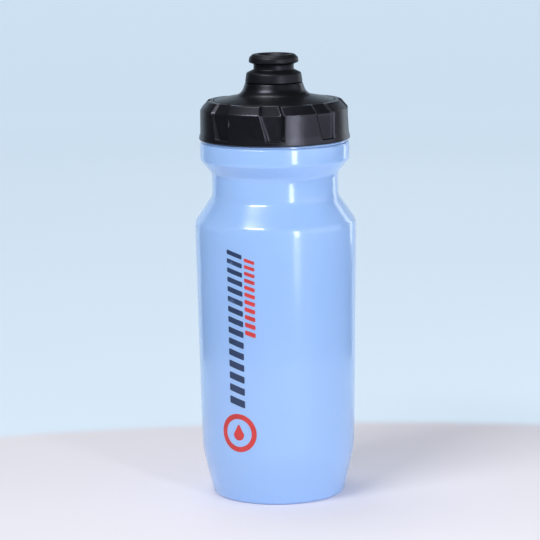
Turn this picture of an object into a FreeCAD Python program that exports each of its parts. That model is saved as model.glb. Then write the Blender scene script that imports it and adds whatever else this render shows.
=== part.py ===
import FreeCAD, Part
import math
import os
import re

import Sketcher
from FreeCAD import Vector

# A squeezable sports bottle: a blow-moulded body with a cage waist, a screw cap with eight grip
# notches and a soft dome, and a push-pull nozzle that slides on a plugged post. Millimetres, +Z up,
# origin at the centre of the base. Every piece but the body is drawn from the underside of the cap.

driving_sizes = {
    # body, from the base upwards
    "body_radius": 37.0,
    "body_wall": 1.0,
    "side_taper": 1.65,
    "heel_step": 5.0,
    "base_rise": 2.5,
    "foot_width": 4.2,
    "base_ramp": 3.2,
    "heel_rise": 21.5,
    "side_rise": 97.5,
    "band_rise": 8.4,
    "shoulder_rise": 11.8,
    "waist_radius": 28.95,
    "waist_rise": 10.6,
    "flare_rise": 6.5,
    "collar_rise": 7.9,
    "ledge_width": 4.2,
    "foot_round": 2.0,
    "foot_inner_round": 1.2,
    "heel_round": 40.0,
    "shoulder_round": 5.0,
    "waist_round": 4.0,
    "flare_round": 3.0,
    "collar_round": 2.0,
    "ledge_round": 1.1,
    "flare_share": 0.4,
    "shoulder_share": 0.3,
    "heel_share": 0.8,
    "ramp_share": 0.35,
    # neck and screw thread
    "stop_inset": 1.0,
    "stop_rise": 0.8,
    "stop_round": 0.25,
    "neck_radius": 30.1,
    "neck_wall": 1.8,
    "neck_rise": 13.8,
    "rim_round": 0.4,
    "thread_pitch": 4.5,
    "thread_turns": 1.25,
    "thread_depth": 1.2,
    "thread_root": 2.2,
    "thread_crest": 1.0,
    "thread_start": 4.6,
    "thread_gap": 0.4,
    "thread_bury": 0.5,
    "flank_gap": 0.3,
    # gasket between the neck's rim and the cap
    "gasket_thickness": 1.75,
    "gasket_lap": 0.3,
    "seal_gap": 0.12,
    # cap
    "cap_gap": 0.3,
    "cap_wall": 1.0,
    "wall_draft": 0.12,
    "hem_rise": 3.6,
    "hem_flare": 0.42,
    "hem_bend": 4.0,
    "hem_round": 0.5,
    "cap_round": 0.4,
    "upper_gap": 0.5,
    "thread_room": 1.2,
    "shoulder_drop": 0.7,
    "chamfer_rise": 3.7,
    "chamfer_run": 3.25,
    "land_width": 2.85,
    "land_rise": 0.15,
    "notch_count": 8,
    "notch_depth": 1.4,
    "notch_foot": 2.0,
    "notch_draft": 1.2,
    "notch_over": 0.6,
    "notch_flare": 2.4,
    "notch_reach": 4.2,
    "notch_bend_drop": 0.49,
    "notch_foot_left": 3.8,
    "notch_foot_right": 4.4,
    "notch_bend_left": 7.0,
    "notch_bend_right": 4.5,
    "notch_top_left": 6.9,
    "notch_top_right": 2.6,
    # soft dome on the cap
    "skin": 0.9,
    "skin_round": 0.25,
    "dome_gap": 0.4,
    "dome_rise": 2.55,
    "dome_flare": 1.8,
    "dome_round": 5.5,
    "seat_in_share": 0.76,
    "seat_down_share": 0.87,
    # post with its plug, fixed under the cap's deck
    "post_radius": 8.95,
    "post_wall": 1.25,
    "post_round": 0.3,
    "flange_width": 4.65,
    "flange_thickness": 1.8,
    "clip_wall": 1.0,
    "clip_reach": 0.3,
    "spoke_count": 3,
    "spoke_width": 1.6,
    "spoke_depth": 3.0,
    "pin_radius": 2.6,
    "pin_round": 0.5,
    "plug_radius": 3.35,
    "plug_depth": 2.1,
    "plug_taper": 0.8,
    "plug_rise": 0.6,
    "plug_round": 0.6,
    "seal_section": 0.9,
    "seal_squeeze": 0.1,
    "seal_room": 0.05,
    "seal_drop": 2.0,
    # nozzle that slides on the post
    "nozzle_travel": 6.0,
    "slide_gap": 0.25,
    "core_wall": 1.3,
    "core_round": 0.2,
    "bead_width": 0.55,
    "bead_rise": 1.6,
    "bead_gap": 0.2,
    "stop_gap": 0.3,
    "bead_clear": 1.85,
    "lip_rise": 1.3,
    "chimney_wall": 1.0,
    "seam_gap": 0.25,
    "skirt_rise": 4.2,
    "skirt_draft": 0.65,
    "hip_rise": 1.54,
    "hip_round": 1.1,
    "stem_radius": 9.2,
    "stem_wall": 1.4,
    "sleeve_wall": 1.2,
    "stem_rise": 2.42,
    "stem_round": 0.6,
    "lip_overhang": 2.25,
    "lip_under": 0.9,
    "lip_side": 2.2,
    "lip_draft": 0.35,
    "lip_top": 1.4,
    "lip_crown": 1.9,
    "lip_round": 0.6,
    "crown_round": 1.2,
    "mouth_radius": 7.6,
    "mouth_round": 0.7,
    "dish_depth": 2.0,
    "dish_step": 0.8,
    "mouth_gap": 0.25,
    "mouth_wall": 1.7,
}

doc = FreeCAD.newDocument("squeeze_bottle")
sizes = doc.addObject("Spreadsheet::Sheet", "Sizes")
for row, (alias, number) in enumerate(driving_sizes.items(), start=1):
    sizes.set(f"A{row}", alias)
    sizes.set(f"B{row}", str(number))
    sizes.setAlias(f"B{row}", alias)
doc.recompute()


def bound(text):
    """The text with each driving size's name turned into its cell of the sheet."""
    return re.sub(r"[a-z]\w+", lambda word: "Sizes." + word.group(), text)


def value(text):
    return float(sizes.evalExpression(bound(text)))


def origin_part(body, role):
    """A plane or axis of the body's own origin."""
    return next(item for item in body.Origin.OriginFeatures if item.Role == role)


def new_body(label):
    body = doc.addObject("PartDesign::Body", label)
    body.Label = label
    return body


def new_sketch(body, name, plane, offset="0"):
    sketch = body.newObject("Sketcher::SketchObject", name)
    sketch.AttachmentSupport = [(origin_part(body, plane), "")]
    sketch.MapMode = "FlatFace"
    sketch.setExpression(".AttachmentOffset.Base.z", bound(offset))
    return sketch


def pin_point(sketch, geometry, corner_index, name, across, up):
    """Hold a point of the sketch at its two sizes, or on an axis where a size is nought."""
    for axis, kind, text, tag in ((-2, "DistanceX", across, "across"), (-1, "DistanceY", up, "up")):
        if text == "0":
            sketch.addConstraint(Sketcher.Constraint("PointOnObject", geometry, corner_index, axis))
            continue
        rule = Sketcher.Constraint(kind, -1, 1, geometry, corner_index, value(text))
        index = sketch.addConstraint(rule)
        sketch.renameConstraint(index, f"{name}_{tag}")
        sketch.setExpression(f"Constraints.{name}_{tag}", bound(text))


def rounded_corner(before, here, after, radius):
    """Ends, centre and turn of the arc that rounds a corner."""
    back = (before - here).normalize()
    ahead = (after - here).normalize()
    half = back.getAngle(ahead) / 2
    reach = radius / math.tan(half)
    middle = (back + ahead).normalize()
    centre = here + middle * (radius / math.sin(half))
    turns_left = (here - before).cross(after - here).z > 0
    return here + back * reach, here + ahead * reach, centre, turns_left


def outline(sketch, corners):
    """A closed outline of straight sides. A corner is (across, up) or (across, up, rounding)."""
    count = len(corners)
    spots = [Vector(value(corner[0]), value(corner[1]), 0) for corner in corners]
    ends = []
    for index, corner in enumerate(corners):
        before = spots[index - 1]
        here = spots[index]
        after = spots[(index + 1) % count]
        if len(corner) == 3:
            ends.append(rounded_corner(before, here, after, value(corner[2])))
        else:
            ends.append((here, here, None, None))
    for index in range(count):
        sketch.addGeometry(Part.LineSegment(ends[index][1], ends[(index + 1) % count][0]), False)
    for index, corner in enumerate(corners):
        name = f"corner{index}"
        side_before = (index - 1) % count
        if len(corner) == 2:
            sketch.addConstraint(Sketcher.Constraint("Coincident", side_before, 2, index, 1))
            pin_point(sketch, index, 1, name, corner[0], corner[1])
            continue
        arrive, leave, centre, turns_left = ends[index]
        first, last = (arrive, leave) if turns_left else (leave, arrive)
        start_angle = math.atan2(first.y - centre.y, first.x - centre.x)
        end_angle = math.atan2(last.y - centre.y, last.x - centre.x)
        circle = Part.Circle(centre, Vector(0, 0, 1), value(corner[2]))
        arc = sketch.addGeometry(Part.ArcOfCircle(circle, start_angle, end_angle), False)
        arc_start, arc_end = (1, 2) if turns_left else (2, 1)
        sketch.addConstraint(Sketcher.Constraint("Tangent", side_before, 2, arc, arc_start))
        sketch.addConstraint(Sketcher.Constraint("Tangent", arc, arc_end, index, 1))
        tip = sketch.addGeometry(Part.Point(spots[index]), True)
        sketch.addConstraint(Sketcher.Constraint("PointOnObject", tip, 1, side_before))
        sketch.addConstraint(Sketcher.Constraint("PointOnObject", tip, 1, index))
        pin_point(sketch, tip, 1, name, corner[0], corner[1])
        rule = sketch.addConstraint(Sketcher.Constraint("Radius", arc, value(corner[2])))
        sketch.renameConstraint(rule, f"{name}_round")
        sketch.setExpression(f"Constraints.{name}_round", bound(corner[2]))


def turned(body, name, corners):
    """A full turn of an outline about the body's Z axis."""
    sketch = new_sketch(body, name + "_outline", "XZ_Plane")
    outline(sketch, corners)
    doc.recompute()
    turn = body.newObject("PartDesign::Revolution", name)
    turn.Profile = sketch
    turn.ReferenceAxis = (sketch, ["V_Axis"])
    turn.Angle = 360
    doc.recompute()
    return turn


def around(body, name, original, count):
    """Copies of a feature, evenly spaced round the body's Z axis."""
    pattern = body.newObject("PartDesign::PolarPattern", name)
    pattern.Originals = [original]
    pattern.Axis = (origin_part(body, "Z_Axis"), [""])
    pattern.Angle = 360
    pattern.setExpression("Occurrences", bound(count))
    body.Tip = pattern
    doc.recompute()
    return pattern


def thread(body, name, root_radius, crest_radius, level):
    """A right-handed ridge wound on the neck or in the cap, sunk a little into its wall."""
    sketch = new_sketch(body, name + "_section", "XZ_Plane")
    outline(sketch, [
        (root_radius, f"{level} - thread_root / 2"),
        (crest_radius, f"{level} - thread_crest / 2"),
        (crest_radius, f"{level} + thread_crest / 2"),
        (root_radius, f"{level} + thread_root / 2"),
    ])
    doc.recompute()
    ridge = body.newObject("PartDesign::AdditiveHelix", name)
    ridge.Profile = sketch
    ridge.ReferenceAxis = (sketch, ["V_Axis"])
    ridge.Mode = "pitch-turns-angle"
    ridge.setExpression("Pitch", bound("thread_pitch"))
    ridge.setExpression("Turns", bound("thread_turns"))
    doc.recompute()
    return ridge


# Levels of the body, from the base
heel_radius = "(body_radius - side_taper)"
foot_radius = "(body_radius - side_taper - heel_step)"
foot_inner_radius = f"({foot_radius} - foot_width)"
ramp_radius = f"({foot_inner_radius} - base_ramp)"
collar_radius = "(neck_radius + ledge_width)"
neck_bore = "(neck_radius - neck_wall)"
band_level = "(heel_rise + side_rise)"
shoulder_level = f"({band_level} + band_rise)"
waist_level = f"({shoulder_level} + shoulder_rise)"
flare_level = f"({waist_level} + waist_rise)"
collar_level = f"({flare_level} + flare_rise)"
ledge_level = f"({collar_level} + collar_rise)"
rim_level = f"({ledge_level} + neck_rise)"
stop_radius = f"({collar_radius} - stop_inset)"
stop_level = f"({ledge_level} + stop_rise)"

# Levels and radii of the cap, from its underside
cap_base = f"({stop_level} + cap_gap)"
rim_in_cap = "(neck_rise - stop_rise - cap_gap)"
deck_level = f"({rim_in_cap} + gasket_thickness + 2 * seal_gap)"
wall_level = f"({deck_level} - shoulder_drop)"
edge_level = f"({wall_level} + chamfer_rise)"
land_level = f"({edge_level} + land_rise)"
thread_bore = "(neck_radius + thread_depth + thread_gap)"
upper_bore = "(neck_radius + upper_gap)"
floor_radius = f"({thread_bore} + cap_wall)"
cap_radius = f"({floor_radius} + notch_depth)"
edge_radius = f"({cap_radius} - chamfer_run)"
land_radius = f"({edge_radius} - land_width)"

# Radii from the post outwards, and levels of the dome and its chimney
core_bore = "(post_radius + slide_gap)"
core_radius = f"({core_bore} + core_wall)"
lip_bore = f"({core_radius} + slide_gap)"
bead_radius = f"({core_radius} + bead_width)"
chimney_bore = f"({bead_radius} + bead_gap)"
chimney_radius = f"({chimney_bore} + chimney_wall)"
collar_skin_radius = f"({chimney_radius} + skin)"
dome_corner_radius = f"({collar_skin_radius} + dome_flare)"
dome_corner_level = f"({land_level} + dome_rise)"
core_level = f"({deck_level} + bead_clear)"
bead_top_level = f"({core_level} + bead_rise)"
lip_level = f"({bead_top_level} + nozzle_travel + stop_gap)"
chimney_level = f"({lip_level} + lip_rise)"
seam_level = f"({chimney_level} + seam_gap)"

# Levels and radii of the nozzle, from the cap's underside
skirt_level = f"({seam_level} + skirt_rise)"
stem_level = f"({skirt_level} + hip_rise)"
lip_under_level = f"({stem_level} + stem_rise)"
lip_side_level = f"({lip_under_level} + lip_under)"
lip_top_level = f"({lip_side_level} + lip_side)"
nozzle_top_level = f"({lip_top_level} + lip_top)"
core_stem_radius = "(stem_radius - sleeve_wall)"
stem_bore = "(stem_radius - sleeve_wall - stem_wall)"
lip_radius = "(stem_radius + lip_overhang)"
core_top_level = f"({nozzle_top_level} - dish_depth)"
mouth_bore = "(plug_radius + mouth_gap)"

# How far the inside corners of the body move so that its wall is even on each slope
flare_shift = "(flare_share * body_wall)"
shoulder_shift = "(shoulder_share * body_wall)"
heel_shift = "(heel_share * body_wall)"
ramp_shift = "(ramp_share * body_wall)"

# Body: a thin shell with a shallow push-up, a tapered side, a waist for the cage's tab and a neck
bottle_body = new_body("bottle_body")
turned(bottle_body, "shell", [
    ("0", "base_rise"),
    (ramp_radius, "base_rise", "foot_round"),
    (foot_inner_radius, "0", "foot_inner_round"),
    (foot_radius, "0", "foot_round"),
    (heel_radius, "heel_rise", "heel_round"),
    ("body_radius", band_level),
    ("body_radius", shoulder_level, "shoulder_round"),
    ("waist_radius", waist_level, "waist_round"),
    ("waist_radius", flare_level, "flare_round"),
    (collar_radius, collar_level, "collar_round"),
    (collar_radius, ledge_level, "ledge_round"),
    (stop_radius, ledge_level),
    (stop_radius, stop_level, "stop_round"),
    ("neck_radius", stop_level, "rim_round"),
    ("neck_radius", rim_level, "rim_round"),
    (neck_bore, rim_level, "rim_round"),
    (neck_bore, f"{ledge_level} - body_wall", "rim_round"),
    (f"{collar_radius} - body_wall", f"{ledge_level} - body_wall", "ledge_round"),
    (f"{collar_radius} - body_wall", f"{collar_level} + {flare_shift}", "collar_round"),
    ("waist_radius - body_wall", f"{flare_level} + {flare_shift}", "flare_round"),
    ("waist_radius - body_wall", f"{waist_level} - {shoulder_shift}", "waist_round"),
    ("body_radius - body_wall", f"{shoulder_level} - {shoulder_shift}", "shoulder_round - body_wall"),
    ("body_radius - body_wall", band_level),
    (f"{heel_radius} - body_wall", "heel_rise", "heel_round - body_wall"),
    (f"{foot_radius} - {heel_shift}", "body_wall", "foot_round"),
    (f"{foot_inner_radius} + {ramp_shift}", "body_wall", "foot_inner_round"),
    (f"{ramp_radius} + {ramp_shift}", "base_rise + body_wall", "foot_round"),
    ("0", "base_rise + body_wall"),
])
thread(
    bottle_body, "neck_thread", "neck_radius - thread_bury", "neck_radius + thread_depth",
    f"({ledge_level} + thread_start)",
)

# Cap: a shell with a chimney for the nozzle, a thread in its bore and slanted grip notches outside
seat_level = f"({land_level} - skin)"
skin_edge_radius = f"({land_radius} - dome_gap)"
seat_corner = (
    f"{dome_corner_radius} - seat_in_share * skin",
    f"{dome_corner_level} - seat_down_share * skin",
    "dome_round + skin",
)
clip_radius = "(post_radius + flange_width)"
clip_level = f"({deck_level} - flange_thickness - clip_reach)"
cap_body = new_body("cap_body")
turned(cap_body, "cap_shell", [
    (thread_bore, "0"),
    (f"{cap_radius} + wall_draft + hem_flare", "0", "hem_round"),
    (f"{cap_radius} + wall_draft", "hem_rise", "hem_bend"),
    (cap_radius, wall_level, "cap_round"),
    (edge_radius, edge_level, "cap_round"),
    (land_radius, land_level),
    (land_radius, seat_level),
    (skin_edge_radius, seat_level),
    seat_corner,
    (chimney_radius, chimney_level),
    (lip_bore, chimney_level),
    (lip_bore, lip_level),
    (chimney_bore, f"{lip_level} - bead_width"),
    (chimney_bore, deck_level),
    (clip_radius, deck_level),
    (clip_radius, clip_level),
    (f"{clip_radius} + clip_wall", clip_level),
    (f"{clip_radius} + clip_wall", deck_level, "cap_round"),
    (upper_bore, deck_level, "cap_round"),
    (upper_bore, f"{rim_in_cap} - seal_gap"),
    (thread_bore, f"{rim_in_cap} - thread_room"),
])
neck_thread_in_cap = "(thread_start - stop_rise - cap_gap)"
thread(
    cap_body, "cap_thread", f"{thread_bore} + thread_bury", f"{thread_bore} - thread_depth",
    f"({neck_thread_in_cap} - thread_root / 2 - thread_crest / 2 + flank_gap / 2)",
)


def notch_section(name, level, left, right, floor):
    """The notch's cut at one level: its mouth is past the wall, and its sides close with depth."""
    sketch = new_sketch(cap_body, name, "XY_Plane", level)
    outline(sketch, [
        (f"-{left} - notch_flare", f"-{floor} - notch_reach"),
        (f"{right} + notch_flare", f"-{floor} - notch_reach"),
        (f"{right} - notch_draft", f"-{floor}"),
        (f"-{left} + notch_draft", f"-{floor}"),
    ])
    doc.recompute()
    return sketch


notch = cap_body.newObject("PartDesign::SubtractiveLoft", "notch")
notch.Profile = notch_section(
    "notch_foot_section", "notch_foot", "notch_foot_left", "notch_foot_right", floor_radius
)
notch.Sections = [
    notch_section(
        "notch_bend_section", f"{wall_level} - notch_bend_drop",
        "notch_bend_left", "notch_bend_right", floor_radius,
    ),
    notch_section(
        "notch_top_section", f"{land_level} + notch_over",
        "notch_top_left", "notch_top_right", f"({floor_radius} - chamfer_run - notch_over)",
    ),
]
notch.Ruled = True
doc.recompute()
around(cap_body, "grip_notches", notch, "notch_count")

# Dome: the soft skin over the deck and chimney
dome_cover = new_body("dome_cover")
turned(dome_cover, "skin_shell", [
    (skin_edge_radius, seat_level),
    (skin_edge_radius, land_level, "skin_round"),
    (dome_corner_radius, dome_corner_level, "dome_round"),
    (collar_skin_radius, chimney_level, "skin_round"),
    (chimney_radius, chimney_level),
    seat_corner,
])

# Gasket on the neck's rim
cap_gasket = new_body("cap_gasket")
turned(cap_gasket, "ring", [
    (f"{neck_bore} - gasket_lap", f"{rim_in_cap} + seal_gap", "gasket_lap"),
    ("neck_radius + upper_gap / 2", f"{rim_in_cap} + seal_gap", "gasket_lap"),
    ("neck_radius + upper_gap / 2", f"{deck_level} - seal_gap", "gasket_lap"),
    (f"{neck_bore} - gasket_lap", f"{deck_level} - seal_gap", "gasket_lap"),
])

# Post: a tube with a flange, and a plug on a pin held by spokes
post_bore = "(post_radius - post_wall)"
post_top_level = f"({skirt_level} - post_wall)"
seal_level = f"({post_top_level} - seal_drop)"
plug_level = f"({core_top_level} + plug_rise)"
ring_radius = "(post_radius + slide_gap - seal_squeeze - seal_section / 2)"
groove_radius = f"({ring_radius} - seal_section / 2 - seal_room)"
groove_half = "(seal_section / 2 + 2 * seal_room)"
spout_post = new_body("spout_post")
turned(spout_post, "tube", [
    (post_bore, f"{deck_level} - flange_thickness"),
    (clip_radius, f"{deck_level} - flange_thickness"),
    (clip_radius, deck_level),
    ("post_radius", deck_level),
    ("post_radius", f"{seal_level} - {groove_half}"),
    (groove_radius, f"{seal_level} - {groove_half}"),
    (groove_radius, f"{seal_level} + {groove_half}"),
    ("post_radius", f"{seal_level} + {groove_half}"),
    ("post_radius", post_top_level, "post_round"),
    (post_bore, post_top_level, "post_round"),
])
spoke_sketch = new_sketch(spout_post, "spoke_outline", "XY_Plane", f"{deck_level} - flange_thickness")
outline(spoke_sketch, [
    ("0", "-spoke_width / 2"),
    (f"{post_bore} + post_wall / 2", "-spoke_width / 2"),
    (f"{post_bore} + post_wall / 2", "spoke_width / 2"),
    ("0", "spoke_width / 2"),
])
doc.recompute()
spoke = spout_post.newObject("PartDesign::Pad", "spoke")
spoke.Profile = spoke_sketch
spoke.setExpression("Length", bound("spoke_depth"))
doc.recompute()
around(spout_post, "spokes", spoke, "spoke_count")
turned(spout_post, "plug_pin", [
    ("0", f"{deck_level} - flange_thickness"),
    ("pin_radius", f"{deck_level} - flange_thickness", "pin_round"),
    ("pin_radius", f"{plug_level} - plug_depth - plug_taper"),
    ("plug_radius", f"{plug_level} - plug_depth"),
    ("plug_radius", plug_level, "plug_round"),
    ("0", plug_level),
])

# Seal ring in the post's groove
post_seal_ring = doc.addObject("Part::Torus", "post_seal_ring")
post_seal_ring.Label = "post_seal_ring"
post_seal_ring.setExpression("Radius1", bound(ring_radius))
post_seal_ring.setExpression("Radius2", bound("seal_section / 2"))

# Nozzle: a stiff core that slides on the post, under a soft sleeve with the drinking lip
core_skin = [
    (core_radius, skirt_level),
    (core_stem_radius, stem_level),
    (core_stem_radius, core_top_level),
]
nozzle_core = new_body("nozzle_core")
turned(nozzle_core, "sliding_tube", [
    (core_bore, core_level, "core_round"),
    (bead_radius, core_level),
    (bead_radius, f"{bead_top_level} - bead_width"),
    (core_radius, bead_top_level),
    *core_skin,
    (mouth_bore, core_top_level),
    (mouth_bore, f"{core_top_level} - mouth_wall"),
    (stem_bore, f"{core_top_level} - mouth_wall - plug_taper"),
    (stem_bore, stem_level),
    (core_bore, skirt_level),
])
nozzle_sleeve = new_body("nozzle_sleeve")
turned(nozzle_sleeve, "soft_sleeve", [
    (core_radius, seam_level),
    (collar_skin_radius, seam_level, "skin_round"),
    (f"{collar_skin_radius} - skirt_draft", skirt_level, "hip_round"),
    ("stem_radius", stem_level, "stem_round"),
    ("stem_radius", lip_under_level, "stem_round"),
    (lip_radius, lip_side_level, "lip_round"),
    (f"{lip_radius} - lip_draft", lip_top_level, "crown_round"),
    (f"{lip_radius} - lip_crown", nozzle_top_level, "crown_round"),
    ("mouth_radius", nozzle_top_level, "mouth_round"),
    (f"{mouth_bore} + dish_step", core_top_level, "skin_round"),
    (core_stem_radius, core_top_level),
    (core_stem_radius, stem_level),
    (core_radius, skirt_level),
])

lifted = [cap_body, dome_cover, cap_gasket, spout_post, nozzle_core, nozzle_sleeve]
for piece in lifted:
    piece.setExpression(".Placement.Base.z", bound(cap_base))
post_seal_ring.setExpression(".Placement.Base.z", bound(f"{cap_base} + {seal_level}"))
doc.recompute()

pieces = [bottle_body, post_seal_ring, *lifted]
for item in doc.Objects:
    if "Invalid" in item.State or "Error" in item.State:
        raise RuntimeError(f"{item.Label} did not build: {item.State}")
for piece in pieces:
    if piece.Shape.isNull() or not piece.Shape.isValid():
        raise RuntimeError(f"{piece.Label} has no sound shape")
    if len(piece.Shape.Solids) != 1:
        raise RuntimeError(f"{piece.Label} has {len(piece.Shape.Solids)} solids")

os.makedirs("parts", exist_ok=True)
for piece in pieces:
    piece.Shape.exportStep(f"parts/{piece.Label}.step")
    print(piece.Label, round(piece.Shape.Volume, 1), "mm3")
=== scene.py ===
import math
import bpy
import bmesh
from mathutils import Matrix, Vector


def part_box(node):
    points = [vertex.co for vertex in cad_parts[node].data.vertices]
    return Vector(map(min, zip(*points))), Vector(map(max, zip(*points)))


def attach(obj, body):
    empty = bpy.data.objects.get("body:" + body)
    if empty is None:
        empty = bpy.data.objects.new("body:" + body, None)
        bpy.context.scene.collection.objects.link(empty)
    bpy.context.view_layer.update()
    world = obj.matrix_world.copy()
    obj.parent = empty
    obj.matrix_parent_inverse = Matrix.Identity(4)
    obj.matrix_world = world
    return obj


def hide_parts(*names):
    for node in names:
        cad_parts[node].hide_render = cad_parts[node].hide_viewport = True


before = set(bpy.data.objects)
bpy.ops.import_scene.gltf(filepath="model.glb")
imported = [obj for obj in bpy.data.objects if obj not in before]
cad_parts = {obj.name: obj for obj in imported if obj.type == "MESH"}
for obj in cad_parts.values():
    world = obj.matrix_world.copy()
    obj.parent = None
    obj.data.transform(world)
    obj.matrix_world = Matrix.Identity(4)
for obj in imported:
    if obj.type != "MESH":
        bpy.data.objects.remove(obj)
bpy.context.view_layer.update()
mm = 0.001
print("frame loaded:", len(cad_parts), "nodes")


# camera, floor and light

cameraLook = {
    "distance": 1.2472,
    "pitch": 9.564,          # degrees below level
    "roll": -0.768,
    "aimAcross": -0.0029,
    "aimHeight": 0.10406,
    "lens": 180.0,
    "sensor": 36.0,
    "clipStart": 0.05,
}


def addCamera(look):
    pitch = math.radians(look["pitch"])
    data = bpy.data.cameras.new("studioCamera")
    data.lens = look["lens"]
    data.sensor_width = look["sensor"]
    data.clip_start = look["clipStart"]
    camera = bpy.data.objects.new("studioCamera", data)
    bpy.context.scene.collection.objects.link(camera)
    back = Vector((0, -math.cos(pitch), math.sin(pitch))) * look["distance"]
    spot = Vector((look["aimAcross"], 0, look["aimHeight"])) + back
    turn = Matrix.Rotation(math.pi / 2 - pitch, 4, "X") @ Matrix.Rotation(math.radians(look["roll"]), 4, "Z")
    camera.matrix_world = Matrix.Translation(spot) @ turn
    bpy.context.scene.camera = camera


addCamera(cameraLook)

studio = {
    "view": "Standard",
    "airColour": (0.80, 0.88, 1.0, 1.0),
    "airStrength": 0.05,
    "paperRough": 0.9,
    "paperLevel": 0.1,
    "nearColour": (0.78, 0.76, 0.80, 1.0),     # floor round the bottle
    "paintedFalloffColour": (0.48, 0.47, 0.49, 1.0),    # the same floor painted darker further out, towards the lamps: a painted fall-off of light, leaving a painted pool of light round the bottle
    "paintedFalloffReach": (0.18, 0.56),                 # how far from the bottle the one turns into the other
    "farColour": (0.22, 0.25, 0.28, 1.0),      # floor behind the bottle, and the wall
    "nearShine": (0.125, 0.12, 0.13, 1.0),
    "farShine": (0.52, 0.63, 0.735, 1.0),
    "middle": (0.02, -0.47),                   # the near floor is a disc round this point
    "nearReach": 0.598,
    "fade": 0.022,
    "tableRings": (0.02, 0.05, 0.09, 0.14, 0.20, 0.26),
    "tableReach": 0.32,
    "roomReach": 1.9,
    "flatSteps": 8,
    "coveRadius": 0.3,
    "coveSteps": 12,
    "wallTop": 0.74,
    "columnStep": 4,           # degrees
    "backArc": (48, 84),       # start and sweep of the wall the bottle mirrors, degrees
    "frontArc": (132, 276),
}

# azimuth runs from the camera's side towards +X; size is across and up, glow is the panel's own brightness
lamps = {
    "lowStrip": {"azimuth": 29, "away": 0.50, "height": 0.030, "size": (0.08, 0.050), "glow": 3.2,
                 "colour": (0.98, 0.98, 1.0), "aim": 0.03},
    "highStrip": {"azimuth": 29, "away": 0.50, "height": 0.215, "size": (0.060, 0.300), "glow": 14.0,
                  "colour": (0.98, 0.98, 1.0), "aim": 0.20},
    "keyPanel": {"azimuth": -38, "away": 0.62, "height": 0.78, "size": (0.40, 0.10), "glow": 36.0,
                 "colour": (1.0, 0.985, 0.97), "aim": 0.13},
    "rimStrip": {"azimuth": 134, "away": 0.60, "height": 0.22, "size": (0.09, 0.42), "glow": 2.2,
                 "colour": (0.93, 0.98, 1.0), "aim": 0.12},
    "topPanel": {"azimuth": -151, "away": 0.31, "height": 1.25, "size": (0.44, 0.42), "glow": 5.6,
                 "colour": (1.0, 1.0, 1.0), "aim": 0.0},
    "sidePanel": {"azimuth": 76, "away": 0.80, "height": 0.30, "size": (0.90, 0.50), "glow": 0.85,
                  "colour": (0.97, 0.96, 1.0), "aim": 0.12},
    "leftFill": {"azimuth": -112, "away": 0.85, "height": 0.22, "size": (0.45, 0.40), "glow": 0.9,
                 "colour": (0.97, 0.99, 1.0), "aim": 0.10, "mirrored": False},
    "backFill": {"azimuth": 172, "away": 1.10, "height": 0.55, "size": (0.70, 0.60), "glow": 0.6,
                 "colour": (0.97, 0.99, 1.0), "aim": 0.10, "mirrored": False},
    "frontFill": {"azimuth": 4, "away": 1.10, "height": 0.42, "size": (0.80, 0.70), "glow": 0.76,
                  "colour": (0.97, 0.99, 1.0), "aim": 0.10, "mirrored": False},
}


def addLamp(name, lamp):
    data = bpy.data.lights.new(name, "AREA")
    data.shape = "RECTANGLE"
    data.size, data.size_y = lamp["size"]
    data.energy = math.pi * lamp["size"][0] * lamp["size"][1] * lamp["glow"]
    data.color = lamp["colour"]
    around = math.radians(lamp["azimuth"])
    spot = Vector((math.sin(around) * lamp["away"], -math.cos(around) * lamp["away"], lamp["height"]))
    turn = (spot - Vector((0, 0, lamp["aim"]))).to_track_quat("Z", "Y").to_matrix().to_4x4()
    panel = bpy.data.objects.new(name, data)
    bpy.context.scene.collection.objects.link(panel)
    panel.matrix_world = Matrix.Translation(spot) @ turn
    panel.visible_camera = False
    panel.visible_glossy = lamp.get("mirrored", True)


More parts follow.
